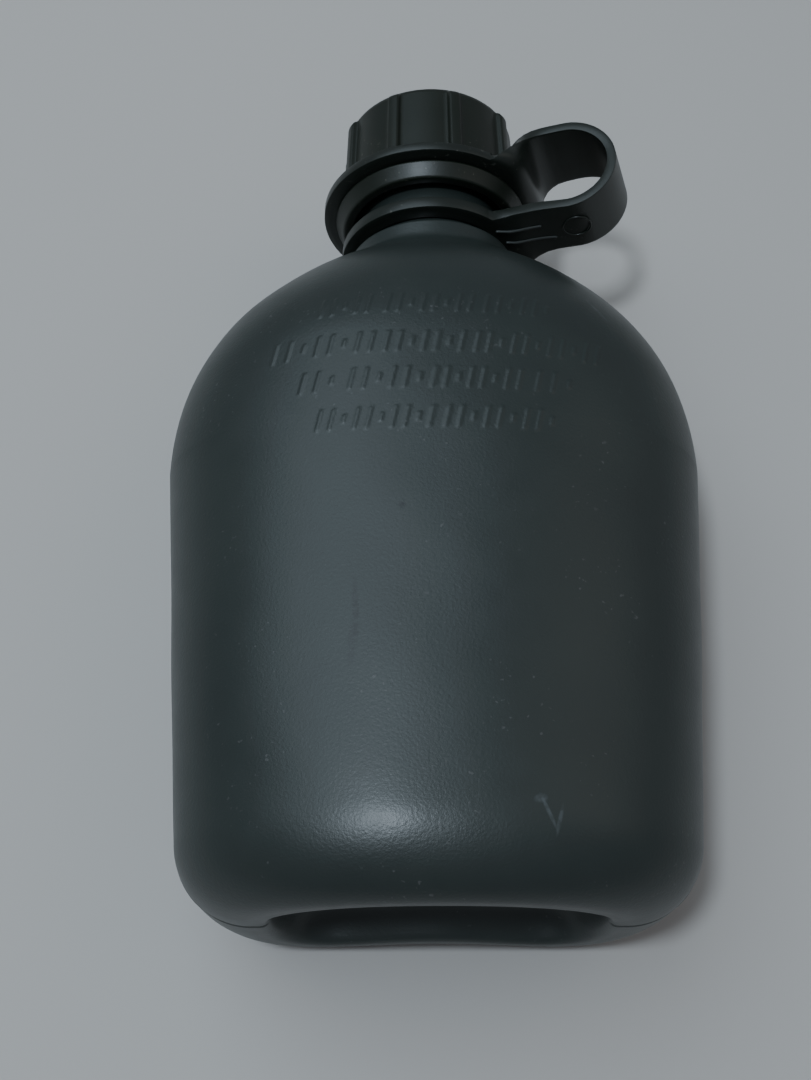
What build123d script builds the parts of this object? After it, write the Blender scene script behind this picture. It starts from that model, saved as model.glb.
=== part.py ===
from build123d import *
import math
import os

# Blow-moulded canteen lying on its hollow back. +X right, +Y from foot to cap, +Z up out of the
# convex front. The origin is under the middle of the box, on the surface that the back rests on.
# Heights along the bottle are measured from the foot and turned into Y by at().

# Overall sizes
overall_length = 212.0
foot_half_width = 55.7
shoulder_half_width = 64.3
foot_front_depth = 37.5
shoulder_front_depth = 39.0
back_depth = 42.3
back_hollow = 13.3
back_hollow_half_width = 42.0
wall = 2.2

# Shape of the shoulders and of the foot
side_dome_length = 64.7
front_dome_length = 45.3
front_dome_overrun = 4.3
shoulder_depth = 16.4
front_roundness = 2.2
back_roundness = 3.0
corner_radius = 15.7
front_foot_inset = 10.0
front_foot_rise = 18.0
back_foot_inset = 5.0
back_foot_rise = 12.0
foot_land = 3.5
foot_recess = 8.5
foot_recess_draft = 4.0

# Neck, the pedestal it stands on, and its thread
neck_radius = 18.5
neck_wall = 3.5
neck_socket = 7.0
pedestal_drop = 42.7
pedestal_rise = 9.0
pedestal_shelf = 3.3
pedestal_step = 2.9
dome_tuck = 1.5
thread_lead = 6.35
thread_turns = 2.0
thread_offset = 8.0
thread_root_width = 2.6
thread_crest_width = 1.2
thread_height = 1.8
thread_embed = 0.4
thread_gap = 0.5

# Cap
cap_wall = 1.6
cap_top_wall = 2.7
cap_rim_gap = 11.7
bead_height = 4.2
bead_overhang = 3.0
bead_round = 1.2
cap_edge = 1.0
groove_height = 3.0
drum_step = 0.8
drum_taper = 0.8
rib_count = 9
rib_angle = 15.0
rib_width = 3.5
rib_height = 1.6
rib_reach = 3.8
rib_draft = 1.2
rib_top_gap = 1.2
plug_clearance = 0.7
plug_wall = 1.6
plug_depth = 3.5
top_dish_depth = 0.6
top_dish_margin = 4.0

# Gasket
gasket_thickness = 1.6
gasket_gap = 0.05
gasket_width = 3.6

# Strap
strap_thickness = 2.4
strap_width = 17.0
strap_angle = 18.5
ring_clearance = 0.6
ring_play = 0.4
neck_ring_clearance = 0.7
neck_ring_gap = 2.5
neck_ring_width = 4.3
neck_ring_thickness = 3.0
cap_ring_width = 5.6
lower_leg_lift = 3.7
loop_radius = 12.0
loop_rise = 5.0
loop_straight = 7.4

# Radii that follow from the sizes above
recess_top_inset = foot_land + foot_recess_draft
neck_bore_radius = neck_radius - neck_wall
pedestal_radius = neck_radius + pedestal_shelf
plug_radius = neck_bore_radius - plug_clearance
cap_inner_radius = neck_radius + thread_height + thread_gap
groove_radius = cap_inner_radius + cap_wall
bead_radius = groove_radius + bead_overhang
drum_radius = groove_radius + drum_step
cap_top_radius = drum_radius - drum_taper
dish_radius = cap_top_radius - top_dish_margin
cap_ring_radius = groove_radius + ring_clearance
neck_ring_inner = neck_radius + neck_ring_clearance
riser_reach = drum_radius + rib_height + ring_clearance + strap_thickness / 2
loop_reach = riser_reach + loop_rise + loop_straight

# Heights, worked down from the top of the cap to the shoulders
half_length = overall_length / 2
cap_top = overall_length
cap_inner_top = cap_top - cap_top_wall
mouth_height = cap_inner_top - gasket_thickness - 2 * gasket_gap
plug_bottom = mouth_height - plug_depth
pedestal_height = cap_top - pedestal_drop
pedestal_bottom = pedestal_height - pedestal_rise
dome_top = pedestal_height - pedestal_step
dome_end_share = (pedestal_radius - dome_tuck) / shoulder_half_width
shoulder_height = dome_top - side_dome_length * math.sqrt(1 - dome_end_share**2)
front_dome_height = dome_top + front_dome_overrun - front_dome_length

# Heights, worked up from the pedestal to the cap and the strap
cap_rim_height = pedestal_height + cap_rim_gap
groove_bottom = cap_rim_height + bead_height
drum_bottom = groove_bottom + groove_height
thread_start = cap_rim_height + thread_offset
cap_ring_bottom = groove_bottom + ring_play
cap_ring_thickness = groove_height - 2 * ring_play
neck_ring_height = pedestal_height + neck_ring_gap
lower_leg_height = neck_ring_height + lower_leg_lift
loop_middle = lower_leg_height + loop_radius
upper_leg_height = loop_middle + loop_radius


def rounding(height, rise, depth):
    """Distance that an edge rounded over this rise and depth pulls the wall in at this height."""
    share = min(max(1 - height / rise, 0.0), 1.0)
    return depth * (1 - math.sqrt(1 - share**2))


def dome(height, start, length):
    """Share of the full size that is left at this height on an elliptical shoulder."""
    share = min(max((height - start) / length, 0.0), 1.0)
    return math.sqrt(1 - share**2)


def lerp(low, high, share):
    return low + (high - low) * min(max(share, 0.0), 1.0)


def section_sizes(height, inset):
    """Half width, front depth, back depth, hollow and the two roundness exponents of a section."""
    half_width = lerp(foot_half_width, shoulder_half_width, height / shoulder_height)
    half_width *= dome(height, shoulder_height, side_dome_length)
    front_full = lerp(foot_front_depth, shoulder_front_depth, height / front_dome_height)
    front_share = dome(height, front_dome_height, front_dome_length)
    share = min(max((height - front_dome_height) / (dome_top - front_dome_height), 0.0), 1.0)
    ease = share * share * (3 - 2 * share)
    front = front_full * front_share
    back = lerp(back_depth * front_share, front, ease)
    hollow = back_hollow * front_share * (1 - ease)
    return (
        half_width - inset - rounding(height - inset, corner_radius - inset, corner_radius - inset),
        front - inset - rounding(height - inset, front_foot_rise - inset, front_foot_inset - inset),
        back - inset - rounding(height - inset, back_foot_rise - inset, back_foot_inset - inset),
        hollow,
        lerp(front_roundness, 2.0, ease),
        lerp(back_roundness, 2.0, ease),
    )


def closed_curve(sizes, inset, point_count=48):
    """Points of a rounded cross-section, flattened into a hollow along its back."""
    half_width, front, back, hollow, front_power, back_power = sizes
    points = []
    for index in range(point_count):
        angle = 2 * math.pi * index / point_count
        cosine, sine = math.cos(angle), math.sin(angle)
        power = 2 / (front_power if sine >= 0 else back_power)
        x = half_width * math.copysign(abs(cosine) ** power, cosine)
        z = (front if sine >= 0 else back) * math.copysign(abs(sine) ** power, sine)
        if sine < 0:
            inside = max(0.0, 1 - (x / (back_hollow_half_width - inset)) ** 2)
            z += hollow * inside**2
        points.append((x, z))
    return points


def outline(height, inset):
    """Cross-section at this height, on the outside or this far inside it."""
    return closed_curve(section_sizes(height, inset), inset)


def foot_outline(inset):
    """The foot's own outline pulled in by this much, for the recess."""
    half_width, front, back, hollow, front_power, back_power = section_sizes(0.0, 0.0)
    sizes = (half_width - inset, front - inset, back - inset, hollow, front_power, back_power)
    return closed_curve(sizes, inset)


axis_height = max(-z for x, z in closed_curve(section_sizes(shoulder_height, 0.0), 0.0, 720))


def at(height):
    """Y of a height above the foot."""
    return height - half_length


def section_plane(height):
    """Plane across the bottle, with X right and Y up."""
    return Plane(origin=(0, at(height), axis_height), x_dir=(1, 0, 0), z_dir=(0, -1, 0))


profile_plane = Plane(origin=(0, -half_length, axis_height), x_dir=(1, 0, 0), z_dir=(0, 0, 1))
neck_axis = Axis((0, 0, axis_height), (0, 1, 0))
radial = math.radians(strap_angle)
strap_plane = Plane(
    origin=(0, -half_length, axis_height),
    x_dir=(math.cos(radial), 0, math.sin(radial)),
    z_dir=(-math.sin(radial), 0, math.cos(radial)),
)


def section_heights(inset):
    """Heights of the sections that the bottle, or its inside, is lofted through."""
    rise = front_foot_rise - inset
    foot = [inset + rise * (1 - math.cos(math.radians(angle))) for angle in range(0, 90, 15)]
    sides = [lerp(front_foot_rise, shoulder_height, share / 6) for share in range(7)]
    limit = math.asin((dome_top - inset - shoulder_height) / side_dome_length)
    arch = [shoulder_height + side_dome_length * math.sin(limit * step / 9) for step in range(1, 10)]
    return foot + sides + arch


# Helical ridges of the right-hand thread: out of the neck, and half a turn later into the cap
ridges = {}
for label, wall_radius, start, outward in (
    ("neck", neck_radius, thread_start, 1),
    ("cap", cap_inner_radius, thread_start - thread_lead / 2, -1),
):
    root = wall_radius - outward * thread_embed
    depth = thread_embed + thread_height
    foot = (0, at(start), axis_height)
    path = Helix(thread_lead, thread_lead * thread_turns, root, center=foot, direction=(0, 1, 0))
    away = (path @ 0 - Vector(*foot)).normalized() * outward
    with BuildPart() as ridge:
        with BuildSketch(Plane(origin=path @ 0, x_dir=away, z_dir=path % 0)):
            with BuildLine():
                Polyline(
                    (0, -thread_root_width / 2),
                    (depth, -thread_crest_width / 2),
                    (depth, thread_crest_width / 2),
                    (0, thread_root_width / 2),
                    close=True,
                )
            make_face()
        sweep(path=path, is_frenet=True)
    ridges[label] = ridge.part

# Inside of the bottle, down to the raised floor over the foot's recess
with BuildPart() as cavity:
    for height in section_heights(wall):
        with BuildSketch(section_plane(height)):
            with BuildLine():
                Spline(outline(height, wall), periodic=True)
            make_face()
    loft()
    for height, inset in ((0.0, foot_land - wall), (foot_recess + wall, recess_top_inset - wall)):
        with BuildSketch(section_plane(height)):
            with BuildLine():
                Spline(foot_outline(inset), periodic=True)
            make_face()
    loft(mode=Mode.SUBTRACT)

# Whole bottle: shell, recessed foot, pedestal, neck and external thread
with BuildPart() as bottle:
    for height in section_heights(0.0):
        with BuildSketch(section_plane(height)):
            with BuildLine():
                Spline(outline(height, 0.0), periodic=True)
            make_face()
    loft()
    with BuildSketch(profile_plane):
        with BuildLine():
            Polyline(
                (0, pedestal_bottom),
                (0, mouth_height),
                (neck_radius, mouth_height),
                (neck_radius, pedestal_height),
                (pedestal_radius, pedestal_height),
                (pedestal_radius, pedestal_bottom),
                close=True,
            )
        make_face()
    revolve(axis=neck_axis)
    for height, inset in ((0.0, foot_land), (foot_recess, recess_top_inset)):
        with BuildSketch(section_plane(height)):
            with BuildLine():
                Spline(foot_outline(inset), periodic=True)
            make_face()
    loft(mode=Mode.SUBTRACT)
    add(cavity.part, mode=Mode.SUBTRACT)
    with BuildSketch(section_plane(mouth_height)):
        Circle(neck_bore_radius)
    extrude(amount=mouth_height - pedestal_bottom + neck_socket, mode=Mode.SUBTRACT)
    add(ridges["neck"])

# The bottle as three solids that meet across its axis: body, shoulder and threaded neck
with BuildPart() as canteen_body:
    add(bottle.part)
    split(bisect_by=section_plane(dome_top - shoulder_depth), keep=Keep.TOP)
canteen_body.part.label = "canteen_body"

with BuildPart() as canteen_shoulder:
    add(bottle.part)
    split(bisect_by=section_plane(dome_top - shoulder_depth), keep=Keep.BOTTOM)
    split(bisect_by=section_plane(dome_top), keep=Keep.TOP)
canteen_shoulder.part.label = "canteen_shoulder"

with BuildPart() as canteen_neck:
    add(bottle.part)
    split(bisect_by=section_plane(dome_top), keep=Keep.BOTTOM)
canteen_neck.part.label = "canteen_neck"

# Cap: drum with finger ribs, strap groove, bead, inner plug and internal thread
with BuildPart() as cap:
    with BuildSketch(profile_plane):
        with BuildLine():
            Polyline(
                (0, cap_inner_top),
                (plug_radius - plug_wall, cap_inner_top),
                (plug_radius - plug_wall, plug_bottom),
                (plug_radius, plug_bottom),
                (plug_radius, cap_inner_top),
                (cap_inner_radius, cap_inner_top),
                (cap_inner_radius, cap_rim_height),
                (bead_radius - bead_round, cap_rim_height),
                (bead_radius, cap_rim_height + bead_round),
                (bead_radius, groove_bottom - bead_round),
                (bead_radius - bead_round, groove_bottom),
                (groove_radius, groove_bottom),
                (groove_radius, drum_bottom),
                (drum_radius, drum_bottom),
                (cap_top_radius, cap_top - cap_edge),
                (cap_top_radius - cap_edge, cap_top),
                (dish_radius, cap_top),
                (dish_radius - top_dish_depth, cap_top - top_dish_depth),
                (0, cap_top - top_dish_depth),
                close=True,
            )
        make_face()
    revolve(axis=neck_axis)
    rib_angles = [rib_angle + 360 * index / rib_count for index in range(rib_count)]
    for angle in rib_angles:
        turned = Plane(
            origin=(0, at(drum_bottom), axis_height),
            x_dir=(math.sin(math.radians(angle)), 0, math.cos(math.radians(angle))),
            z_dir=(0, 1, 0),
        )
        with BuildSketch(turned):
            with Locations((drum_radius + rib_height - rib_reach / 2, 0)):
                SlotOverall(rib_reach, rib_width)
        extrude(amount=cap_top - rib_top_gap - drum_bottom, taper=rib_draft)
    add(ridges["cap"])
cap.part.label = "cap"

# Gasket: flat washer round the plug, between the mouth and the cap
with BuildPart() as cap_gasket:
    with BuildSketch(section_plane(mouth_height + gasket_gap)):
        Circle(plug_radius + gasket_gap * 4 + gasket_width)
        Circle(plug_radius + gasket_gap * 4, mode=Mode.SUBTRACT)
    extrude(amount=-gasket_thickness)
cap_gasket.part.label = "cap_gasket"

# Strap: one moulding in two halves that meet at the far end of its loop
with BuildPart() as strap_neck_half:
    with BuildSketch(section_plane(neck_ring_height)):
        Circle(neck_ring_inner + neck_ring_width)
    extrude(amount=-neck_ring_thickness)
    with BuildSketch(strap_plane):
        with BuildLine():
            lower_start = (neck_ring_inner + strap_thickness / 2, neck_ring_height + neck_ring_thickness / 2)
            lower_bend = (neck_ring_inner + neck_ring_width + strap_thickness, lower_leg_height)
            lower_tangent = (loop_reach, lower_leg_height)
            Polyline(lower_start, lower_bend, lower_tangent)
            CenterArc((loop_reach, loop_middle), loop_radius, -90, 90)
        trace(line_width=strap_thickness)
        with Locations((loop_reach, loop_middle)):
            Rectangle(3 * loop_radius, loop_radius / 2, align=(Align.CENTER, Align.MIN), mode=Mode.SUBTRACT)
    extrude(amount=strap_width / 2, both=True)
    with BuildSketch(section_plane(neck_ring_height - neck_ring_thickness)):
        Circle(neck_ring_inner)
    extrude(amount=-3 * neck_ring_thickness, mode=Mode.SUBTRACT)
strap_neck_half.part.label = "strap_neck_half"

with BuildPart() as strap_cap_half:
    with BuildSketch(section_plane(cap_ring_bottom)):
        Circle(cap_ring_radius + cap_ring_width)
        Circle(cap_ring_radius, mode=Mode.SUBTRACT)
    extrude(amount=-cap_ring_thickness)
    with BuildSketch(strap_plane):
        with BuildLine():
            riser_foot = cap_ring_bottom + cap_ring_thickness / 2
            riser_top = upper_leg_height - loop_rise
            Line((riser_reach, riser_foot), (riser_reach, riser_top))
            CenterArc((riser_reach + loop_rise, riser_top), loop_rise, 90, 90)
            Line((riser_reach + loop_rise, upper_leg_height), (loop_reach, upper_leg_height))
            CenterArc((loop_reach, loop_middle), loop_radius, 0, 90)
        trace(line_width=strap_thickness)
        with Locations((loop_reach, loop_middle)):
            Rectangle(3 * loop_radius, loop_radius / 2, align=(Align.CENTER, Align.MAX), mode=Mode.SUBTRACT)
    extrude(amount=strap_width / 2, both=True)
strap_cap_half.part.label = "strap_cap_half"

os.makedirs("parts", exist_ok=True)
bottle_pieces = (canteen_body, canteen_shoulder, canteen_neck)
for piece in bottle_pieces + (cap, cap_gasket, strap_neck_half, strap_cap_half):
    export_step(piece.part, f"parts/{piece.part.label}.step")
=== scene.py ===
"""Looks of the canteen: a moulded bottle with a hollow back, a ribbed screw cap and its looped strap.

Sizes are in millimetres from the bottle's foot and neck axis, and turned into the frame's metres
by place(). The frame gives where the foot and the axis are.
"""

import math

import bpy
import numpy as np
from mathutils import Matrix, Vector


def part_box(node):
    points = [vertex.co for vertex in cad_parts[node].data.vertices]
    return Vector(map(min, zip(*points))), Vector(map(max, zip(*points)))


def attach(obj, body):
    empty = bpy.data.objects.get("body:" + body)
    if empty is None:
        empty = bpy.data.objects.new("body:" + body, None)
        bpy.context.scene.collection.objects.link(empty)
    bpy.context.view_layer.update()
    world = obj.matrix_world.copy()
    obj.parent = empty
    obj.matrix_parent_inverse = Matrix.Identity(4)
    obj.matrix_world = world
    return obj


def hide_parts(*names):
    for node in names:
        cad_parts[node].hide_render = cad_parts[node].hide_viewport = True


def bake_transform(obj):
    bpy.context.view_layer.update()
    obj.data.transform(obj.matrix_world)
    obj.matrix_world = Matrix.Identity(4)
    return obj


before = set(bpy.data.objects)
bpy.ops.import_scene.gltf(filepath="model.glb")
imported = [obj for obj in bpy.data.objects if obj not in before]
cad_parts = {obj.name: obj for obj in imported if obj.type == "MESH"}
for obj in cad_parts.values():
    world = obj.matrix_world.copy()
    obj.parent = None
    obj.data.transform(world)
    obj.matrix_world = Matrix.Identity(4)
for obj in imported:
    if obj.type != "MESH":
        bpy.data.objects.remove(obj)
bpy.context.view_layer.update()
MM = 0.001

# Where the bottle lies in the frame
body_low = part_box("canteen_body")[0]
cap_low, cap_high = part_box("cap")
FOOT_Y = body_low[1]
AXIS_Z = (cap_low[2] + cap_high[2]) / 2
TOTAL = (cap_high[1] - FOOT_Y) / MM

# Bottle
FOOT_HALF_WIDTH = 55.7
SHOULDER_HALF_WIDTH = 64.3
SHOULDER = 105.0
FOOT_FRONT = 37.5
SHOULDER_FRONT = 39.0
FRONT_DOME = 125.4
BACK_DEPTH = 42.3
HOLLOW = 13.3
HOLLOW_HALF_WIDTH = 42.0
SIDE_DOME_LENGTH = 64.7
FRONT_DOME_LENGTH = 45.3
FRONT_ROUNDNESS = 2.2
BACK_ROUNDNESS = 3.0
CORNER_RADIUS = 15.7
FRONT_FOOT_DEPTH = 10.0
FRONT_FOOT_HEIGHT = 18.0
BACK_FOOT_DEPTH = 5.0
BACK_FOOT_HEIGHT = 12.0
RECESS = 8.5
WALL = 2.2
INNER_FLOOR = RECESS + WALL
PEDESTAL_RADIUS = 21.8
PEDESTAL_TOP = 169.3
PEDESTAL_EDGE = 0.7
PEDESTAL_FILLET = 3.2
BORE_FILLET = 2.0
DOME_TUCK = 1.5
DOME_TOP_SHARE = (PEDESTAL_RADIUS - DOME_TUCK) / SHOULDER_HALF_WIDTH
DOME_TOP = SHOULDER + SIDE_DOME_LENGTH * math.sqrt(1 - DOME_TOP_SHARE**2)
NECK_RADIUS = 18.5
BORE_RADIUS = 15.0
MOUTH = 207.6

# Thread
LEAD = 6.35
TURNS = 2.0
THREAD_START = 189.0
THREAD_HEIGHT = 1.8
RIDGE_ROOT = 1.3
RIDGE_CREST = 0.6

# Cap
CAP_RIM = 181.0
BEAD_RADIUS = 25.4
BEAD_TOP = 185.2
GROOVE_RADIUS = 22.4
DRUM_BOTTOM = 188.2
DRUM_RADIUS = 23.2
CAP_TOP_RADIUS = 22.4
CAP_EDGE = 1.5
CAP_DISH = 0.6
CAP_INNER_RADIUS = 20.8
CAP_INNER_TOP = 209.3
PLUG_RADIUS = 14.3
PLUG_WALL = 1.6
PLUG_BOTTOM = 204.1
RIB_COUNT = 9
RIB_ANGLE = 15.0
RIB_WIDTH = 3.5
RIB_HEIGHT = 1.6
RIB_TOP = 210.6

# Strap
STRAP_THICKNESS = 2.3
STRAP_EDGE = 0.4
WEB_HALF_WIDTH = 8.5
STRAP_ANGLE = math.radians(18.5)
CAP_RING_MIDDLE = 186.7
CAP_RING_HOLE = 23.0
CAP_RING_RADIUS = 28.6
NECK_RING_MIDDLE = 173.3
NECK_RING_HOLE = 19.2
NECK_RING_RADIUS = 23.5
NECK_RING_THICKNESS = 3.0
LOOP_REACH = 39.0
LOOP_RADIUS = 12.0
LOWER_LEG = 175.5
LOOP_MIDDLE = LOWER_LEG + LOOP_RADIUS


def place(points):
    """Frame coordinates of points given as rows of x, height above the foot, z from the axis."""
    points = np.asarray(points, float)
    out = np.empty_like(points)
    out[..., 0] = points[..., 0] * MM
    out[..., 1] = points[..., 1] * MM + FOOT_Y
    out[..., 2] = points[..., 2] * MM + AXIS_Z
    return out


def smoothstep(low, high, value):
    share = np.clip((np.asarray(value, float) - low) / (high - low), 0, 1)
    return share * share * (3 - 2 * share)


def smooth_max(a, b, radius):
    """The larger of the two, with a fillet of about this radius where they cross."""
    gap = np.maximum(radius - np.abs(a - b), 0) / radius
    return np.maximum(a, b) + gap * gap * radius / 4


def link(name, vertices, faces, smooth=True):
    mesh = bpy.data.meshes.new(name)
    mesh.from_pydata([tuple(v) for v in vertices], [], [tuple(f) for f in faces])
    mesh.validate()
    mesh.update()
    mesh.polygons.foreach_set("use_smooth", [smooth] * len(mesh.polygons))
    piece = bpy.data.objects.new(name, mesh)
    bpy.context.scene.collection.objects.link(piece)
    return piece


def grid_faces(rows, columns, close_rows=False, flip=False):
    """Quads over a grid of points whose columns wrap round, and whose rows may too."""
    faces = []
    last = rows if close_rows else rows - 1
    for row in range(last):
        here, there = row * columns, ((row + 1) % rows) * columns
        for column in range(columns):
            after = (column + 1) % columns
            quad = (here + column, here + after, there + after, there + column)
            faces.append(quad[::-1] if flip else quad)
    return faces


def level_row(x, height, z):
    """One row of a grid: points with these x and z, all at the same height."""
    return np.stack([x, np.full(len(x), height), z], 1)


def fan_faces(first, columns, centre, flip=False):
    """Triangles from a ring of points to one centre point."""
    faces = []
    for column in range(columns):
        triangle = (first + column, first + (column + 1) % columns, centre)
        faces.append(triangle[::-1] if flip else triangle)
    return faces


# ---------------------------------------------------------------- bottle


def rounding(height, reach, depth):
    """How far an edge rounded over this reach and depth pulls the wall in at this height."""
    share = min(max(1 - height / reach, 0), 1)
    return depth * (1 - math.sqrt(1 - share**2))


def dome(height, start, length):
    share = np.clip((height - start) / length, 0, 1)
    return math.sqrt(1 - share**2)


def section_sizes(height, inset=0.0):
    """Half width, front, back, hollow and both roundness exponents of a section."""
    capped = min(height, DOME_TOP - inset)
    half_width = FOOT_HALF_WIDTH + (SHOULDER_HALF_WIDTH - FOOT_HALF_WIDTH) * min(capped / SHOULDER, 1)
    half_width *= dome(capped, SHOULDER, SIDE_DOME_LENGTH)
    front_full = FOOT_FRONT + (SHOULDER_FRONT - FOOT_FRONT) * min(capped / FRONT_DOME, 1)
    front_share = dome(capped, FRONT_DOME, FRONT_DOME_LENGTH)
    ease = float(smoothstep(FRONT_DOME, DOME_TOP, capped))
    front = front_full * front_share
    back = BACK_DEPTH * front_share * (1 - ease) + front * ease
    hollow = HOLLOW * front_share * (1 - ease)
    rise = capped - inset
    return (
        half_width - inset - rounding(rise, CORNER_RADIUS - inset, CORNER_RADIUS - inset),
        front - inset - rounding(rise, FRONT_FOOT_HEIGHT - inset, FRONT_FOOT_DEPTH - inset),
        back - inset - rounding(rise, BACK_FOOT_HEIGHT - inset, BACK_FOOT_DEPTH - inset),
        hollow,
        FRONT_ROUNDNESS + (2 - FRONT_ROUNDNESS) * ease,
        BACK_ROUNDNESS + (2 - BACK_ROUNDNESS) * ease,
    )


def curve_points(sizes, inset, angles):
    """x and z round a section for these angles, from +X over the front."""
    half_width, front, back, hollow, front_power, back_power = sizes
    cosine, sine = np.cos(angles), np.sin(angles)
    power = np.where(sine >= 0, 2 / front_power, 2 / back_power)
    x = half_width * np.sign(cosine) * np.abs(cosine) ** power
    z = np.where(sine >= 0, front, back) * np.sign(sine) * np.abs(sine) ** power
    inside = np.maximum(0, 1 - (x / (HOLLOW_HALF_WIDTH - inset)) ** 2)
    return x, z + np.where(sine < 0, hollow * inside**2, 0)


def spread(segments):
    """Values over joined stretches: each is (from, to, count), without its last point."""
    return np.concatenate([np.linspace(a, b, n, endpoint=False) for a, b, n in segments])


def ridge(distance):
    """Cross-section of the thread: 1 on its crest, 0 past its root."""
    return 1 - smoothstep(RIDGE_CREST, RIDGE_ROOT, np.abs(distance))


def thread_lift(angles, height, start):
    """Share of the full ridge at this height, on a right-hand helix that fades at both ends."""
    turn = np.arctan2(np.cos(angles), np.sin(angles)) / (2 * math.pi)
    lift = np.zeros_like(turn)
    for lap in range(-1, int(TURNS) + 2):
        along = turn + lap
        run_out = smoothstep(0, 0.08, along) * (1 - smoothstep(TURNS - 0.08, TURNS, along))
        lift = np.maximum(lift, run_out * ridge(height - start - LEAD * along))
    return lift


# Rows of slanted strokes in word-like groups stand in for the moulded marking on the front.
MARK_ROWS = (
    (132.6, ((-26.0, 10.6, 5), (-11.0, 19.0, 8), (11.6, 14.0, 6))),
    (121.8, ((-36.8, 6.8, 3), (-26.8, 12.2, 5), (-11.2, 17.0, 7), (9.2, 27.6, 11))),
    (112.4, ((-30.0, 6.6, 3), (-19.0, 15.2, 6), (-0.6, 19.0, 8), (22.6, 7.0, 3))),
    (102.4, ((-26.0, 24.6, 10), (2.2, 23.0, 9))),
)
MARKS_LOW, MARKS_HIGH = 98.0, 138.0
MARK_HEIGHT = 5.4
MARK_SLANT = 0.22
MARK_RELIEF = 0.20
STROKE_WIDTH = 0.32


def marking(x, height):
    """Height of the generic hatch marks over the front, in mm, at these points."""
    relief = np.zeros_like(x)
    for middle, groups in MARK_ROWS:
        if abs(height - middle) > MARK_HEIGHT:
            continue
        up = height - middle
        for start, width, count in groups:
            for stroke in range(count):
                reach = MARK_HEIGHT / 2 if stroke % 3 < 2 else MARK_HEIGHT / 5
                ends = 1 - smoothstep(reach - 0.3, reach + 0.3, abs(up))
                across = start + width * stroke / max(count - 1, 1) + MARK_SLANT * up
                line = 1 - smoothstep(STROKE_WIDTH - 0.25, STROKE_WIDTH + 0.35, np.abs(x - across))
                relief = np.maximum(relief, line * ends)
    return relief * MARK_RELIEF


def unevenness(x, z, height):
    """Slow sink and swell of a blow-moulded wall, in mm."""
    return (
        0.16 * np.sin(0.071 * height + 0.045 * x + 0.6)
        + 0.10 * np.sin(0.113 * x - 0.052 * height + 1.9 + 0.05 * z)
        + 0.05 * np.sin(0.19 * height + 0.15 * x)
    )


def outer_normals(points):
    """Normals of a grid whose columns wrap round."""
    rows = points.shape[0]
    across = np.roll(points, -1, axis=1) - np.roll(points, 1, axis=1)
    along = np.empty_like(points)
    along[1:-1] = points[2:] - points[:-2]
    along[0] = points[1] - points[0]
    along[-1] = points[-1] - points[-2]
    normal = np.cross(along, across)
    length = np.linalg.norm(normal, axis=2, keepdims=True)
    return normal / np.maximum(length, 1e-9)


def bottle_angles():
    """Columns: fine over the marked front and at the two mould seams."""
    deg = spread(
        [
            (0, 1.2, 5),
            (1.2, 42, 46),
            (42, 138, 270),
            (138, 178.8, 46),
            (178.8, 181.2, 10),
            (181.2, 358.8, 190),
            (358.8, 360, 5),
        ]
    )
    return np.radians(deg)


SEAM_HALF_WIDTH = 0.35
SEAM_RELIEF = 0.16
SEAM_REACH = 15.0
PINCH_HALF_WIDTH = 0.45
PINCH_DEPTH = 0.7
PINCH_REACH = 20.0


def seam_ridge(x, z):
    """The mould's parting line: a fine raised line down both sides."""
    return SEAM_RELIEF * np.exp(-((z / SEAM_HALF_WIDTH) ** 2)) * (np.abs(x) > SEAM_REACH)


def seam_pinch(x, z):
    """The groove that the parting line leaves where the mould pinched the foot's rim."""
    return PINCH_DEPTH * np.exp(-((z / PINCH_HALF_WIDTH) ** 2)) * (np.abs(x) > PINCH_REACH)


def foot_profile():
    """(inset, height) down round the rim and up the recess, from the foot's outline inwards."""
    rim = [(0.5, 0.02), (1.0, 0.0), (1.8, 0.0), (2.5, 0.08), (3.1, 0.3), (3.6, 0.7), (4.0, 1.25)]
    slope = [(4.3, 1.9), (4.7, 2.9), (5.2, 4.1), (5.8, 5.3), (6.5, 6.4), (7.4, 7.4), (8.6, 8.1), (10.0, 8.45)]
    return rim + slope + [(11.6, RECESS)]


# How large the copies of the recess floor's outline are that fill it
RECESS_FLOOR_SHARES = (0.12, 0.3, 0.5, 0.7, 0.86)


def foot_rows(angles):
    """Rows from the middle of the foot's recess out to the rim, and z of that middle."""
    half_width, front, back, hollow, front_power, back_power = section_sizes(0.0)

    def outline(inset):
        sizes = (half_width - inset, front - inset, back - inset, hollow, front_power, back_power)
        return curve_points(sizes, inset, angles)

    profile = foot_profile()
    inset, height = profile[-1]
    floor_x, floor_z = outline(inset)
    centre_z = float(floor_z.mean())
    rows = []
    for share in RECESS_FLOOR_SHARES:
        rows.append(level_row(floor_x * share, height, centre_z + (floor_z - centre_z) * share))
    for inset, height in reversed(profile):
        x, z = outline(inset)
        rows.append(level_row(x, height, z))
    return rows, centre_z


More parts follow.
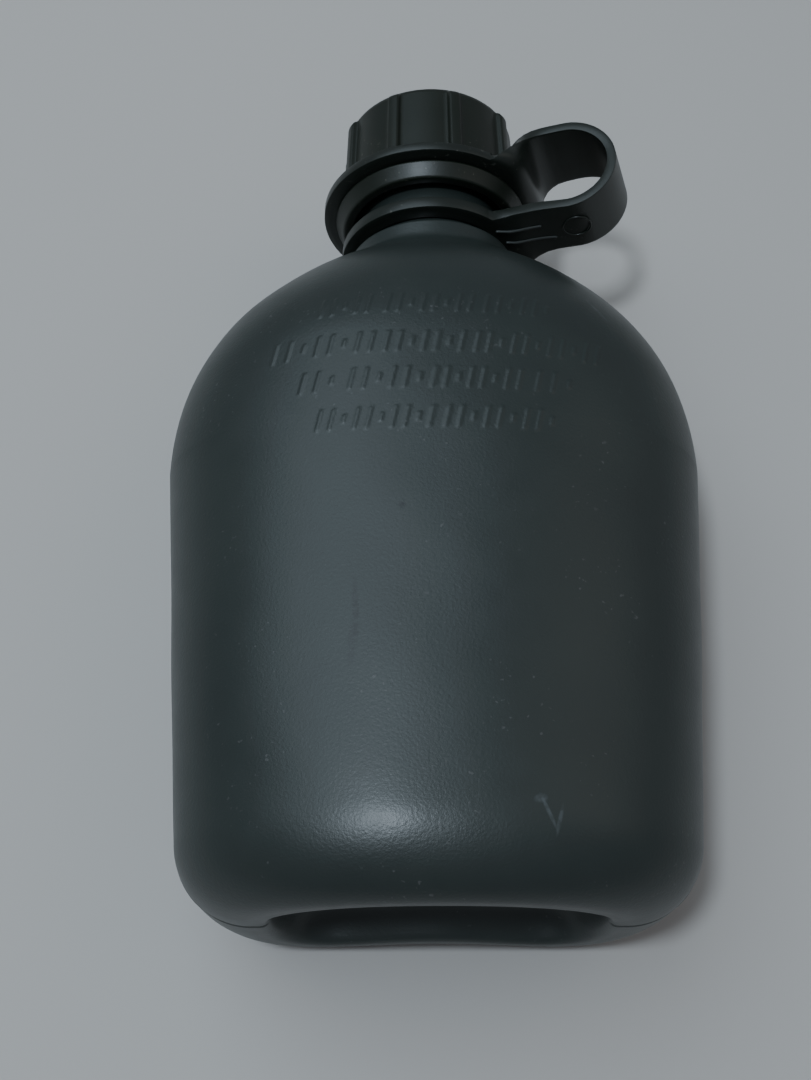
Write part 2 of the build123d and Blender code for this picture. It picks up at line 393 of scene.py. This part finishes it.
def wall_rows(angles):
    """Rows up the outer wall, from the foot to the pedestal's edge, closest together at the marks."""
    heights = list(FRONT_FOOT_HEIGHT * (1 - np.cos(np.radians(np.arange(0, 90, 4.5)))))
    heights += list(np.linspace(FRONT_FOOT_HEIGHT, MARKS_LOW, 60, endpoint=False))
    heights += list(np.linspace(MARKS_LOW, MARKS_HIGH, 118, endpoint=False))
    heights += list(np.linspace(MARKS_HIGH, DOME_TOP, 40, endpoint=False))
    heights += list(np.linspace(DOME_TOP, PEDESTAL_TOP - PEDESTAL_EDGE, 10))
    rows = []
    for height in heights:
        x, z = curve_points(section_sizes(height), 0.0, angles)
        if height > SHOULDER:
            radius = np.hypot(x, z)
            scale = smooth_max(radius, PEDESTAL_RADIUS, PEDESTAL_FILLET) / np.maximum(radius, 1e-6)
            scale = 1 + (scale - 1) * float(smoothstep(140, 150, height))
            x, z = x * scale, z * scale
        rows.append(level_row(x, height, z))
    return rows


def neck_rows(direction):
    """Rows over the pedestal's edge, up the threaded neck, over the mouth and down the bore.

    The direction is each column's, as the x and z of a unit vector out from the axis.
    """
    polar = np.arctan2(direction[:, 1], direction[:, 0])
    profile = []
    for turn in np.radians([15, 35, 55, 75, 90]):
        reach = PEDESTAL_RADIUS - PEDESTAL_EDGE * (1 - math.cos(turn))
        profile.append((reach, PEDESTAL_TOP - PEDESTAL_EDGE * (1 - math.sin(turn))))
    profile += [(NECK_RADIUS + 0.9, PEDESTAL_TOP), (NECK_RADIUS + 0.25, PEDESTAL_TOP + 0.25)]
    profile += [(NECK_RADIUS, PEDESTAL_TOP + 0.9)]
    profile += [(NECK_RADIUS, height) for height in np.arange(PEDESTAL_TOP + 3, THREAD_START - 2, 3.0)]
    for height in np.arange(THREAD_START - 1.6, THREAD_START + LEAD * TURNS + 1.8, 0.3):
        profile.append((NECK_RADIUS + THREAD_HEIGHT * thread_lift(polar, height, THREAD_START), height))
    profile += [(NECK_RADIUS, MOUTH - 0.8), (NECK_RADIUS - 0.25, MOUTH - 0.22), (NECK_RADIUS - 0.8, MOUTH)]
    profile += [(BORE_RADIUS + 0.6, MOUTH), (BORE_RADIUS + 0.15, MOUTH - 0.2), (BORE_RADIUS, MOUTH - 0.7)]
    profile += [(BORE_RADIUS, height) for height in np.linspace(MOUTH - 6, DOME_TOP - WALL + 0.5, 8)]
    return [level_row(direction[:, 0] * reach, height, direction[:, 1] * reach) for reach, height in profile]


def inner_rows(angles):
    """Rows down the inside wall, from under the neck to the middle of the raised floor."""
    rows = []
    for height in list(np.linspace(DOME_TOP - WALL - 0.2, 112, 26)) + [90, 68, 46, 28, 20, 15.5, 13]:
        x, z = curve_points(section_sizes(height, WALL), WALL, angles)
        if height > 150:
            radius = np.hypot(x, z)
            wanted = smooth_max(radius, BORE_RADIUS, BORE_FILLET)
            x, z = x * wanted / radius, z * wanted / radius
        rows.append(level_row(x, height, z))
    x, z = curve_points(section_sizes(13.0, WALL), WALL, angles)
    for share, rise in ((0.93, 0.7), (0.8, 0.2), (0.55, 0), (0.3, 0), (0.1, 0)):
        rows.append(level_row(x * share, INNER_FLOOR + rise, z * share))
    return rows


def add_relief(points, first_outer, last_outer):
    """Moves the outer wall along its normals, by its marks, its seams and its slow unevenness."""
    normals = outer_normals(points)
    for index in range(first_outer, last_outer):
        x, z = points[index, :, 0], points[index, :, 2]
        height = points[index, 0, 1].copy()
        move = unevenness(x, z, height) * float(smoothstep(6, 25, height))
        move = move * float(1 - smoothstep(150, 162, height))
        move = move + marking(x, height) * smoothstep(4, 12, z)
        move = move + seam_ridge(x, z) * float(smoothstep(1, 6, height) * (1 - smoothstep(161, 165, height)))
        move = move - seam_pinch(x, z) * float(1 - smoothstep(1.0, 4.5, height))
        points[index] += normals[index] * move[:, None]
    for index in range(len(RECESS_FLOOR_SHARES), first_outer):
        x, z = points[index, :, 0], points[index, :, 2]
        fade = 1 - float(smoothstep(0.1, 1.0, points[index, 0, 1]))
        points[index] -= normals[index] * (fade * seam_pinch(x, z))[:, None]


def build_bottle():
    angles = bottle_angles()
    foot, centre_z = foot_rows(angles)
    wall = wall_rows(angles)
    direction = wall[-1][:, [0, 2]]
    direction = direction / np.linalg.norm(direction, axis=1, keepdims=True)
    points = np.array(foot + wall + neck_rows(direction) + inner_rows(angles))
    add_relief(points, len(foot), len(foot) + len(wall))

    count, columns = points.shape[:2]
    vertices = list(place(points.reshape(-1, 3)))
    vertices.append(place(np.array([0, RECESS, centre_z])))
    vertices.append(place(np.array([0, INNER_FLOOR, 0])))
    faces = grid_faces(count, columns, flip=True)
    faces += fan_faces(0, columns, len(vertices) - 2)
    faces += fan_faces((count - 1) * columns, columns, len(vertices) - 1, flip=True)
    piece = link("bottle_shell", vertices, faces)
    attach(piece, "bottle")
    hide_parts("canteen_body", "canteen_shoulder", "canteen_neck")
    return piece


# ---------------------------------------------------------------- cap


def rib_columns():
    """Column angles, crowded at the flanks of each rib, and each one's offset from its rib in mm."""
    pitch = 2 * math.pi / RIB_COUNT
    flank = np.array([0.9, 1.3, 1.5, 1.62, 1.75, 1.95])
    offsets = np.concatenate([-flank[::-1], [0], flank]) / DRUM_RADIUS
    between = np.linspace(offsets[-1], pitch + offsets[0], 12)[1:-1]
    one = np.concatenate([offsets, between])
    start = math.radians(90 - RIB_ANGLE)
    return np.concatenate([start + pitch * rib + one for rib in range(RIB_COUNT)])


def rib_lift(angles, height):
    """How far the finger ribs stand out of the drum, in mm."""
    if height < DRUM_BOTTOM + 0.01 or height > RIB_TOP:
        return np.zeros_like(angles)
    pitch = 2 * math.pi / RIB_COUNT
    start = math.radians(90 - RIB_ANGLE)
    offset = (angles - start + pitch / 2) % pitch - pitch / 2
    away = np.abs(offset * DRUM_RADIUS)
    flank = 1 - smoothstep(RIB_WIDTH / 2 - 0.45, RIB_WIDTH / 2 + 0.15, away)
    crown = 1 - 0.18 * (away / (RIB_WIDTH / 2)) ** 2
    reach = np.clip((RIB_TOP - height) / 2.0, 0, 1)
    end = math.sqrt(1 - (1 - reach) ** 2)
    return RIB_HEIGHT * flank * np.clip(crown, 0, 1) * end


def cap_profile():
    """Two lists of (radius, height) round the cap's section: its outside, from the top, then its inside."""
    top = TOTAL
    outer = [(0.5, top - CAP_DISH), (9, top - CAP_DISH), (17.6, top - 0.55), (18.2, top - 0.35)]
    outer += [(18.7, top - 0.08), (19.3, top), (CAP_TOP_RADIUS - CAP_EDGE - 0.1, top)]
    for angle in range(15, 91, 15):
        turn = math.radians(angle)
        reach = CAP_TOP_RADIUS - CAP_EDGE + CAP_EDGE * math.sin(turn)
        outer.append((reach, top - CAP_EDGE + CAP_EDGE * math.cos(turn)))
    drum = []
    rib_ends = np.linspace(top - 1.6, RIB_TOP - 2.2, 14)
    heights = np.concatenate([rib_ends, np.linspace(RIB_TOP - 3, DRUM_BOTTOM + 0.3, 9)])
    for height in heights:
        share = (height - DRUM_BOTTOM) / (top - DRUM_BOTTOM)
        drum.append((DRUM_RADIUS + (CAP_TOP_RADIUS - DRUM_RADIUS) * share, height))
    drum.append((DRUM_RADIUS, DRUM_BOTTOM + 0.02))
    groove = [(DRUM_RADIUS - 0.2, DRUM_BOTTOM - 0.1), (GROOVE_RADIUS + 0.15, DRUM_BOTTOM - 0.15)]
    groove += [(GROOVE_RADIUS, DRUM_BOTTOM - 0.5), (GROOVE_RADIUS, BEAD_TOP + 0.6)]
    groove += [(GROOVE_RADIUS + 0.3, BEAD_TOP + 0.08)]
    bead = []
    for middle_radius, middle_height, round_radius, first, last in (
        (BEAD_RADIUS - 0.6, BEAD_TOP - 0.6, 0.6, 90, -35),
        (BEAD_RADIUS - 2.5, CAP_RIM + 0.9, 0.9, -10, -90),
    ):
        for turn in np.radians(np.linspace(first, last, 8)):
            reach = middle_radius + round_radius * math.cos(turn)
            bead.append((reach, middle_height + round_radius * math.sin(turn)))
    lip = [(CAP_INNER_RADIUS + 0.4, CAP_RIM + 0.02), (CAP_INNER_RADIUS, CAP_RIM + 0.5)]
    plug_inside = PLUG_RADIUS - PLUG_WALL
    inner = [(CAP_INNER_RADIUS, height) for height in np.arange(CAP_RIM + 1.2, CAP_INNER_TOP - 0.5, 0.35)]
    inner += [(CAP_INNER_RADIUS - 0.2, CAP_INNER_TOP - 0.1), (PLUG_RADIUS + 0.4, CAP_INNER_TOP)]
    inner += [(PLUG_RADIUS, CAP_INNER_TOP - 0.4), (PLUG_RADIUS, PLUG_BOTTOM + 0.5)]
    inner += [(PLUG_RADIUS - 0.4, PLUG_BOTTOM), (plug_inside + 0.4, PLUG_BOTTOM)]
    inner += [(plug_inside, PLUG_BOTTOM + 0.5), (plug_inside, CAP_INNER_TOP - 0.4)]
    inner += [(plug_inside - 0.4, CAP_INNER_TOP), (0.5, CAP_INNER_TOP)]
    return outer + drum + groove + bead + lip, inner


def build_cap():
    angles = rib_columns()
    columns = len(angles)
    outside, inside = cap_profile()
    rows = []
    for radius, height in outside:
        on_drum = radius > GROOVE_RADIUS - 0.4 and height > DRUM_BOTTOM
        reach = radius + rib_lift(angles, height) * on_drum
        rows.append(level_row(np.cos(angles) * reach, height, np.sin(angles) * reach))
    for radius, height in inside:
        reach = np.full(columns, radius)
        if abs(radius - CAP_INNER_RADIUS) < 0.01:
            reach = reach - THREAD_HEIGHT * thread_lift(angles, height, THREAD_START - LEAD / 2)
        rows.append(level_row(np.cos(angles) * reach, height, np.sin(angles) * reach))
    points = np.array(rows)
    count = len(rows)
    vertices = list(place(points.reshape(-1, 3)))
    vertices.append(place(np.array([0, TOTAL - CAP_DISH, 0])))
    vertices.append(place(np.array([0, CAP_INNER_TOP, 0])))
    faces = grid_faces(count, columns)
    faces += fan_faces(0, columns, len(vertices) - 2, flip=True)
    faces += fan_faces((count - 1) * columns, columns, len(vertices) - 1)
    piece = link("screw_cap", vertices, faces)
    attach(piece, "closure")
    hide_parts("cap")
    return piece


# ---------------------------------------------------------------- strap


WEB_COLUMNS = 24
RING_COLUMNS = 104
RING_ROWS = 5
CAP_WEB_ANGLE = math.radians(41)
CAP_WEB_START = 25.4
CAP_WEB_BEND = 2.6
NECK_WEB_ANGLE = math.radians(31)


def strap_space(reach, height, across):
    """x, height and z of a point on the strap: how far out from the axis, how high, how far across."""
    x = reach * math.cos(STRAP_ANGLE) - across * math.sin(STRAP_ANGLE)
    z = reach * math.sin(STRAP_ANGLE) + across * math.cos(STRAP_ANGLE)
    return (x, height, z)


def ring_angles(half_angle):
    """Polar angles of a ring's columns: first those that the web joins, then the rest round."""
    radius_shares = np.linspace(-1, 1, WEB_COLUMNS + 1) * math.sin(half_angle)
    joined = np.arcsin(radius_shares)
    rest = np.linspace(half_angle, 2 * math.pi - half_angle, RING_COLUMNS - WEB_COLUMNS + 1)[1:-1]
    return np.concatenate([joined, rest])


# Reach and height of points along the lower face of the neck ring and the lower leg
UNDERSIDE = (
    (19.2, 23.5, 25.2, 26.7, 28.4, 30.5, 33.0, 36.0, 39.0),
    (171.8, 171.8, 172.2, 172.7, 173.2, 173.7, 174.05, 174.25, 174.35),
)


def loop_spine():
    """(reach, height, half width, bow, shift) of each row of the web, from cap ring to neck ring.

    The bow is how far the row's ends lag behind its middle, where it leaves a round ring, and the
    shift is how far the row lies to the strap's upper side.
    """
    rise = []
    for angle, half_width, bow in ((20, 18.3, 4.0), (40, 17.9, 3.8), (60, 17.3, 3.5), (80, 16.6, 3.1)):
        bend = math.radians(angle)
        reach = CAP_WEB_START + CAP_WEB_BEND * math.sin(bend)
        height = CAP_RING_MIDDLE + CAP_WEB_BEND * (1 - math.cos(bend))
        rise.append((reach, height, half_width, bow, 0.0))
    rise += [
        (28.1, 190.6, 15.2, 2.6, 0.0),
        (28.2, 192.4, 13.9, 1.9, 0.0),
        (28.4, 194.2, 12.8, 1.2, 0.0),
        (29.0, 195.9, 11.9, 0.7, 0.0),
        (30.1, 197.2, 11.2, 0.4, 0.0),
        (31.6, 198.1, 10.7, 0.1, 0.0),
        (33.4, 198.6, 10.3, 0.0, 0.0),
        (36.0, 198.8, 10.1, 0.0, 0.0),
    ]
    turn = []
    for step in range(33):
        angle = math.pi / 2 - math.pi * step / 32
        reach = LOOP_REACH + LOOP_RADIUS * math.cos(angle)
        height = LOOP_MIDDLE + LOOP_RADIUS * math.sin(angle)
        ease = float(smoothstep(0, 14, step))
        turn.append((reach, height - 0.7 * (1 - ease), WEB_HALF_WIDTH + 1.5 * (1 - ease), 0.0, 0.0))
    back = [
        (36.0, LOWER_LEG - 0.1, 8.5, 0.0, 0.5),
        (33.0, LOWER_LEG - 0.3, 8.6, 0.1, 1.1),
        (30.5, LOWER_LEG - 0.6, 8.8, 0.3, 1.5),
        (28.4, LOWER_LEG - 1.0, 9.2, 0.7, 1.6),
        (26.7, LOWER_LEG - 1.4, 9.9, 1.4, 1.4),
        (25.2, LOWER_LEG - 1.8, 10.8, 2.2, 0.8),
    ]
    return rise + turn + back


def build_strap():
    """The strap's middle surface, thickened: weights are shares of the neck ring's thickness."""
    vertices, faces, weights = [], [], []
    thin = STRAP_THICKNESS / NECK_RING_THICKNESS

    def add_ring(hole, radius, height, half_angle, outward, limit):
        """Rows of a flat ring, from its hole out or from its rim in, and the index of each row."""
        angles = ring_angles(half_angle)
        starts = []
        shares = np.linspace(0, 1, RING_ROWS)
        for share in shares if outward else shares[::-1]:
            starts.append(len(vertices))
            for angle in angles:
                rim = radius
                if abs(math.remainder(angle, 2 * math.pi)) < half_angle:
                    rim = min(radius, limit / math.cos(angle))
                distance = hole + (rim - hole) * share
                vertices.append(strap_space(distance * math.cos(angle), height, distance * math.sin(angle)))
                weights.append(thin if outward else 1.0)
        for here, there in zip(starts, starts[1:]):
            for column in range(RING_COLUMNS):
                after = (column + 1) % RING_COLUMNS
                faces.append((here + column, here + after, there + after, there + column))
        return starts

    cap_rows = add_ring(CAP_RING_HOLE, CAP_RING_RADIUS, CAP_RING_MIDDLE, CAP_WEB_ANGLE, True, CAP_WEB_START)
    previous = cap_rows[-1]
    spine = loop_spine()
    for index, (reach, height, half_width, bow, shift) in enumerate(spine):
        start = len(vertices)
        for column in range(WEB_COLUMNS + 1):
            share = 2 * column / WEB_COLUMNS - 1
            vertices.append(strap_space(reach - bow * share**6, height, half_width * share + shift))
            weights.append(thin + (1 - thin) * float(smoothstep(len(spine) - 8, len(spine), index)))
        for column in range(WEB_COLUMNS):
            faces.append((previous + column, previous + column + 1, start + column + 1, start + column))
        previous = start
    neck_rows = add_ring(NECK_RING_HOLE, NECK_RING_RADIUS, NECK_RING_MIDDLE, NECK_WEB_ANGLE, False, 99.0)
    for column in range(WEB_COLUMNS):
        rim = neck_rows[0]
        faces.append((previous + column, previous + column + 1, rim + column + 1, rim + column))
    piece = link("strap", list(place(np.array(vertices))), faces)
    group = piece.vertex_groups.new(name="thickness")
    for index, weight in enumerate(weights):
        group.add([index], weight, "REPLACE")
    shell = piece.modifiers.new("thickness", "SOLIDIFY")
    shell.thickness = NECK_RING_THICKNESS * MM
    shell.offset = 0
    shell.vertex_group = "thickness"
    shell.use_even_offset = True
    edge = piece.modifiers.new("edges", "BEVEL")
    edge.width = STRAP_EDGE * MM
    edge.segments = 2
    edge.limit_method = "ANGLE"
    edge.angle_limit = math.radians(50)
    apply_modifiers(piece)
    # Points on the loop at the lower leg and just under the cap ring's lower face; nothing uses them
    lower = strap_space(LOOP_REACH, LOWER_LEG + 1.4, 0)
    upper = strap_space(LOOP_REACH, CAP_RING_MIDDLE - STRAP_THICKNESS / 2 - 0.2, 0)
    start, end = place(np.array([lower, upper]))
    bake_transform(piece)
    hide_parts("strap_neck_half", "strap_cap_half")
    return piece


def apply_modifiers(piece):
    """Keeps what the modifiers made as the piece's own mesh."""
    graph = bpy.context.evaluated_depsgraph_get()
    made = bpy.data.meshes.new_from_object(piece.evaluated_get(graph))
    piece.modifiers.clear()
    piece.data = made
    piece.data.polygons.foreach_set("use_smooth", [True] * len(made.polygons))


def underside(reach):
    """Height of the strap's lower face, from the neck ring out along the lower leg."""
    return float(np.interp(reach, *UNDERSIDE))


def bar(name, path, width, height, closed=False):
    """A thin raised line with a rounded top along a path of (reach, across) under the lower leg."""
    path = np.array(path, float)
    section = [(-0.5, 0.35), (-0.5, -0.4), (-0.28, -0.85), (0, -1.0), (0.28, -0.85), (0.5, -0.4), (0.5, 0.35)]
    count = len(path)
    after = np.roll(path, -1, axis=0) if closed else np.vstack([path[1:], 2 * path[-1] - path[-2]])
    before = np.roll(path, 1, axis=0) if closed else np.vstack([2 * path[0] - path[1], path[:-1]])
    run = after - before
    run /= np.linalg.norm(run, axis=1, keepdims=True)
    side = np.stack([-run[:, 1], run[:, 0]], 1)
    vertices = []
    for point, across in zip(path, side):
        for offset, drop in section:
            spot = point + across * offset * width
            vertices.append(strap_space(spot[0], underside(spot[0]) + drop * height, spot[1]))
    faces = grid_faces(count, len(section), close_rows=closed, flip=True)
    if not closed:
        faces.append(tuple(range(len(section))))
        faces.append(tuple(range((count - 1) * len(section), count * len(section)))[::-1])
    return link(name, list(place(np.array(vertices))), faces)


# Ends of the two moulded lines, as (reach, across), and where the ring lies
UPPER_LINE = ((19.8, 7.6), (30.9, 3.7))
LOWER_LINE = ((21.2, 2.4), (33.8, -2.4))
CIRCLE_REACH = 39.6
CIRCLE_RADIUS = 3.6


def build_strap_marks():
    """Two moulded lines and a plain ring under the lower leg."""
    first = np.linspace(*UPPER_LINE, 25)
    second = np.linspace(*LOWER_LINE, 25)
    turns = [2 * math.pi * step / 48 for step in range(48)]
    round_middle = [(CIRCLE_RADIUS * math.cos(turn), CIRCLE_RADIUS * math.sin(turn)) for turn in turns]
    circle = [(CIRCLE_REACH + reach, across) for reach, across in round_middle]
    marks = [
        bar("strap_line_upper", first, 0.7, 0.5),
        bar("strap_line_lower", second, 0.7, 0.5),
        bar("strap_circle", circle, 0.4, 0.3, closed=True),
    ]
    for mark in marks:
        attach(mark, "strap_lower")
    return marks


# ---------------------------------------------------------------- materials


def new_material(name):
    material = bpy.data.materials.new(name)
    material.use_nodes = True
    nodes, links = material.node_tree.nodes, material.node_tree.links
    return material, nodes, links, nodes["Principled BSDF"]


def noise(nodes, links, coordinates, scale, detail=2.0, roughness=0.5):
    node = nodes.new("ShaderNodeTexNoise")
    node.inputs["Scale"].default_value = scale
    node.inputs["Detail"].default_value = detail
    node.inputs["Roughness"].default_value = roughness
    links.new(coordinates, node.inputs["Vector"])
    return node.outputs["Fac"]


def remap(nodes, links, value, low, high, out_low, out_high):
    node = nodes.new("ShaderNodeMapRange")
    node.inputs["From Min"].default_value = low
    node.inputs["From Max"].default_value = high
    node.inputs["To Min"].default_value = out_low
    node.inputs["To Max"].default_value = out_high
    links.new(value, node.inputs["Value"])
    return node.outputs["Result"]


def mix_colour(nodes, links, factor, first, second):
    node = nodes.new("ShaderNodeMix")
    node.data_type = "RGBA"
    links.new(factor, node.inputs["Factor"])
    for socket, value in (("A", first), ("B", second)):
        target = [each for each in node.inputs if each.name == socket and each.type == "RGBA"][0]
        if isinstance(value, tuple):
            target.default_value = (*value, 1)
        else:
            links.new(value, target)
    return [each for each in node.outputs if each.type == "RGBA"][0]


def scuff(nodes, links, where, centre, size, tilt, strength):
    """A soft worn patch: 1 times the strength at its centre, broken up by noise, 0 outside."""
    node = nodes.new("ShaderNodeMapping")
    node.vector_type = "TEXTURE"
    node.inputs["Location"].default_value = tuple(place(np.array(centre)))
    node.inputs["Rotation"].default_value = (0, 0, math.radians(tilt))
    node.inputs["Scale"].default_value = tuple(each * MM for each in size)
    links.new(where, node.inputs["Vector"])
    fall = nodes.new("ShaderNodeTexGradient")
    fall.gradient_type = "SPHERICAL"
    links.new(node.outputs["Vector"], fall.inputs["Vector"])
    broken = remap(nodes, links, noise(nodes, links, where, 700, 3), 0.35, 0.6, 0.25, 1)
    product = nodes.new("ShaderNodeMath")
    product.operation = "MULTIPLY"
    links.new(remap(nodes, links, fall.outputs["Fac"], 0, 0.5, 0, strength), product.inputs[0])
    links.new(broken, product.inputs[1])
    return product.outputs[0]


def plastic(name, dark, light, dust, roughness, grain_scale, grain_depth, scuffs=()):
    """Moulded plastic: blotchy colour, pale specks, worn patches and a fine orange-peel surface."""
    material, nodes, links, shader = new_material(name)
    where = nodes.new("ShaderNodeTexCoord").outputs["Object"]
    blotches = noise(nodes, links, where, 38, 3)
    colour = mix_colour(nodes, links, remap(nodes, links, blotches, 0.3, 0.7, 0, 1), dark, light)
    specks = noise(nodes, links, where, 900, 1)
    patches = noise(nodes, links, where, 60, 2)
    speck_mask = nodes.new("ShaderNodeMath")
    speck_mask.operation = "MULTIPLY"
    links.new(remap(nodes, links, specks, 0.70, 0.75, 0, 1), speck_mask.inputs[0])
    links.new(remap(nodes, links, patches, 0.48, 0.62, 0, 0.5), speck_mask.inputs[1])
    colour = mix_colour(nodes, links, speck_mask.outputs[0], colour, dust)
    for centre, size, tilt, strength, tint in scuffs:
        mask = scuff(nodes, links, where, centre, size, tilt, strength)
        colour = mix_colour(nodes, links, mask, colour, tint)
    links.new(colour, shader.inputs["Base Color"])
    gloss = noise(nodes, links, where, 150, 3)
    links.new(
        remap(nodes, links, gloss, 0.25, 0.75, roughness - 0.02, roughness + 0.03),
        shader.inputs["Roughness"],
    )
    fine = noise(nodes, links, where, grain_scale, 2, 0.6)
    bump = nodes.new("ShaderNodeBump")
    bump.inputs["Strength"].default_value = 1.0
    bump.inputs["Distance"].default_value = grain_depth * MM
    links.new(fine, bump.inputs["Height"])
    links.new(bump.outputs["Normal"], shader.inputs["Normal"])
    shader.inputs["Specular IOR Level"].default_value = 0.5
    return material


def paint(piece, material):
    piece.data.materials.clear()
    piece.data.materials.append(material)


# ---------------------------------------------------------------- stage


FLOOR_HALF_SIZE = 3.0
FLOOR_PAINT = (0.52, 0.50, 0.475, 1)
# Name, place from the canteen's middle, disk size, power and colour
LIGHTS = (
    ("key", (-0.42, 0.32, 1.0), 1.1, 5.2, (0.74, 0.89, 1.0)),
    ("overhead", (-0.28, -0.19, 1.2), 0.16, 6.5, (0.76, 0.88, 1.0)),
    ("fill", (0.9, 0.2, 0.9), 1.0, 1.0, (1.0, 0.95, 0.88)),
)
SKY = (0.85, 0.9, 1.0, 1)
SKY_STRENGTH = 0.22
LENS = 44.7
SENSOR_WIDTH = 36
CAMERA_PLACE = (-8.25, -45.56, 292.6)
CAMERA_AIM = (0.0040, 0.4217, -0.9067)
CAMERA_ROLL = 0.46


def build_floor():
    size = FLOOR_HALF_SIZE
    corners = [(-size, -size, 0), (size, -size, 0), (size, size, 0), (-size, size, 0)]
    floor = link("floor", corners, [(0, 1, 2, 3)], smooth=False)
    floor.location.z = body_low[2]
    material, _, _, shader = new_material("floor_paint")
    shader.inputs["Base Color"].default_value = FLOOR_PAINT
    shader.inputs["Roughness"].default_value = 0.8
    paint(floor, material)


def build_lights():
    """Soft disks aimed at the canteen's middle, and an even dim sky."""
    middle = place(np.array([0, TOTAL / 2, 0]))
    for name, offset, size, power, colour in LIGHTS:
        light = bpy.data.lights.new(name, "AREA")
        light.shape = "DISK"
        light.size = size
        light.energy = power
        light.color = colour
        lamp = bpy.data.objects.new(name, light)
        bpy.context.scene.collection.objects.link(lamp)
        lamp.location = [middle[axis] + offset[axis] for axis in range(3)]
        aim = -np.array(offset, float)
        lamp.rotation_euler = Vector(aim).to_track_quat("-Z", "Y").to_euler()
    world = bpy.data.worlds.new("studio")
    world.use_nodes = True
    background = world.node_tree.nodes["Background"]
    background.inputs["Color"].default_value = SKY
    background.inputs["Strength"].default_value = SKY_STRENGTH
    bpy.context.scene.world = world


def build_camera():
    """The camera is above the foot and looks down at the front."""
    data = bpy.data.cameras.new("camera")
    data.lens = LENS
    data.sensor_width = SENSOR_WIDTH
    data.clip_start = 0.01
    camera = bpy.data.objects.new("camera", data)
    bpy.context.scene.collection.objects.link(camera)
    camera.location = place(np.array(CAMERA_PLACE))
    roll = Matrix.Rotation(math.radians(CAMERA_ROLL), 3, "Z")
    aim = Vector(CAMERA_AIM).to_track_quat("-Z", "Y").to_matrix()
    camera.rotation_euler = (aim @ roll).to_euler()
    bpy.context.scene.camera = camera


# ---------------------------------------------------------------- scene


shell = build_bottle()
closure = build_cap()
strap = build_strap()
marks = build_strap_marks()
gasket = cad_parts["cap_gasket"]

DARK_RUB = (0.007, 0.010, 0.010)
PALE_RUB = (0.085, 0.100, 0.105)
# Centre and size in mm, tilt in degrees, strength and colour
BODY_SCUFFS = (
    ((-17.4, 57.5, 37.2), (0.9, 8.5, 6.0), 2, 0.8, DARK_RUB),
    ((-18.2, 50.0, 37.0), (1.2, 6.0, 6.0), -4, 0.45, DARK_RUB),
    ((-7.8, 81.0, 38.4), (1.1, 1.1, 4.0), 0, 0.9, DARK_RUB),
    ((20.4, 16.2, 35.6), (0.5, 4.2, 6.0), 24, 0.6, PALE_RUB),
    ((22.6, 14.6, 35.2), (0.5, 3.6, 6.0), -14, 0.5, PALE_RUB),
    ((19.0, 18.6, 36.0), (1.6, 1.0, 6.0), 10, 0.45, PALE_RUB),
    ((38.0, 137.0, 28.0), (0.5, 5.0, 8.0), 38, 0.4, PALE_RUB),
)
# Dark, light and dust colours, roughness, and the scale and depth in mm of the surface's grain
FINISHES = {
    "body_plastic": ((0.020, 0.027, 0.025), (0.024, 0.032, 0.029), (0.10, 0.10, 0.10), 0.37, 1500, 0.05),
    "cap_plastic": ((0.005, 0.009, 0.005), (0.008, 0.012, 0.007), (0.14, 0.14, 0.11), 0.40, 2200, 0.02),
    "strap_plastic": ((0.010, 0.014, 0.011), (0.014, 0.018, 0.014), (0.15, 0.15, 0.13), 0.36, 1800, 0.02),
    # The lighter colour for the strap's two raised lines is a painted highlight, where their rounded tops
    # catch the light.
    "line_highlight_plastic": ((0.030, 0.036, 0.034), (0.050, 0.058, 0.055), (0.15, 0.15, 0.14), 0.40, 1800, 0.02),
    "gasket_rubber": ((0.26, 0.25, 0.22), (0.32, 0.31, 0.28), (0.5, 0.5, 0.48), 0.7, 1600, 0.02),
}
scuffs_on = {"body_plastic": BODY_SCUFFS}
materials = {name: plastic(name, *finish, scuffs_on.get(name, ())) for name, finish in FINISHES.items()}
paint(shell, materials["body_plastic"])
paint(closure, materials["cap_plastic"])
paint(strap, materials["strap_plastic"])
upper_line, lower_line, circle = marks
# The two raised lines are painted lighter than the strap: a painted highlight along them.
paint(upper_line, materials["line_highlight_plastic"])
paint(lower_line, materials["line_highlight_plastic"])
paint(circle, materials["strap_plastic"])
paint(gasket, materials["gasket_rubber"])

build_floor()
build_lights()
build_camera()
